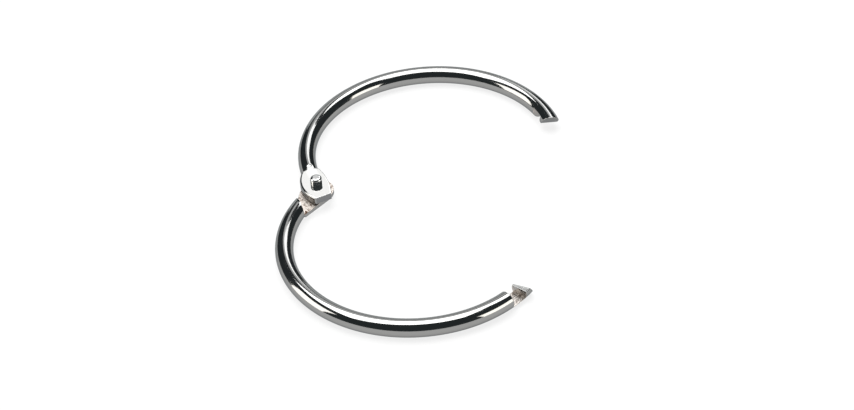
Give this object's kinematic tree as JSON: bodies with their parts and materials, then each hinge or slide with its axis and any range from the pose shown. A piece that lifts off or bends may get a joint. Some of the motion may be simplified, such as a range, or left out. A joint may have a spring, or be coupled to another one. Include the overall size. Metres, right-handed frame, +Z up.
{
  "type": "binder ring",
  "caption": "Hinged metal ring that opens at a rivet and snaps shut at a hooked clasp to hold punched sheets together.",
  "frame": {"origin": "on the table, under the middle of the open ring's bounding box", "axes": "+Z up from the table along the rivet; +X from the hinge towards the open clasp; +Y towards the half that carries the rivet"},
  "size_m": [0.0554, 0.0882, 0.0052],
  "materials": {
    "plated_wire": "bright nickel plate, duller on the cut faces",
    "rivet": "plain plated rivet, slightly dull"
  },
  "bodies": {
    "lower_half": {"lower_half_ring": "plated_wire"},
    "upper_half": {"upper_half_ring": "plated_wire", "hinge_rivet": "rivet"}
  },
  "joints": [
    {"name": "ring_hinge", "type": "hinge", "parent": "lower_half", "child": "upper_half", "pos_m": [-0.02157, 0, 0.0019], "axis": [0, 0, 1], "range_deg": [-64.3, 90]}
  ]
}
